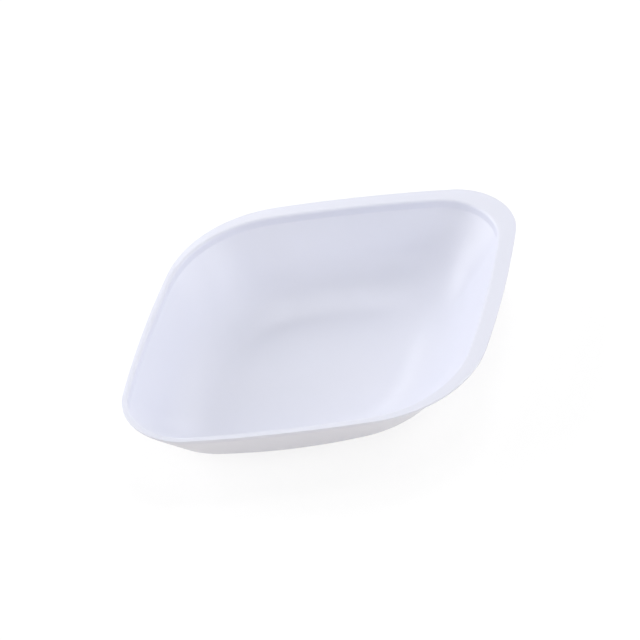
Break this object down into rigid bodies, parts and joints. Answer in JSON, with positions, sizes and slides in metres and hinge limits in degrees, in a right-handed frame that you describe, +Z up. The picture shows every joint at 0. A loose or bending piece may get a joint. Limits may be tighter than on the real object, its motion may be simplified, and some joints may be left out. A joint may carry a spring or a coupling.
{
  "type": "weighing boat",
  "caption": "Diamond-shaped open dish of thin white plastic with sloping walls, a flat floor and a narrow flat rim, for holding a sample on a balance and pouring it off a tip.",
  "frame": {"origin": "on the underside of the floor, below the middle of the rim's length and width", "axes": "+X along the long diagonal, towards the tip where the flange is widest; +Y along the short diagonal; +Z up, out of the mouth"},
  "size_m": [0.085, 0.06, 0.0133],
  "materials": {
    "sheet": "smooth white formed sheet with a soft gloss"
  },
  "bodies": {
    "root": {"weighing_boat": "sheet"}
  },
  "joints": []
}
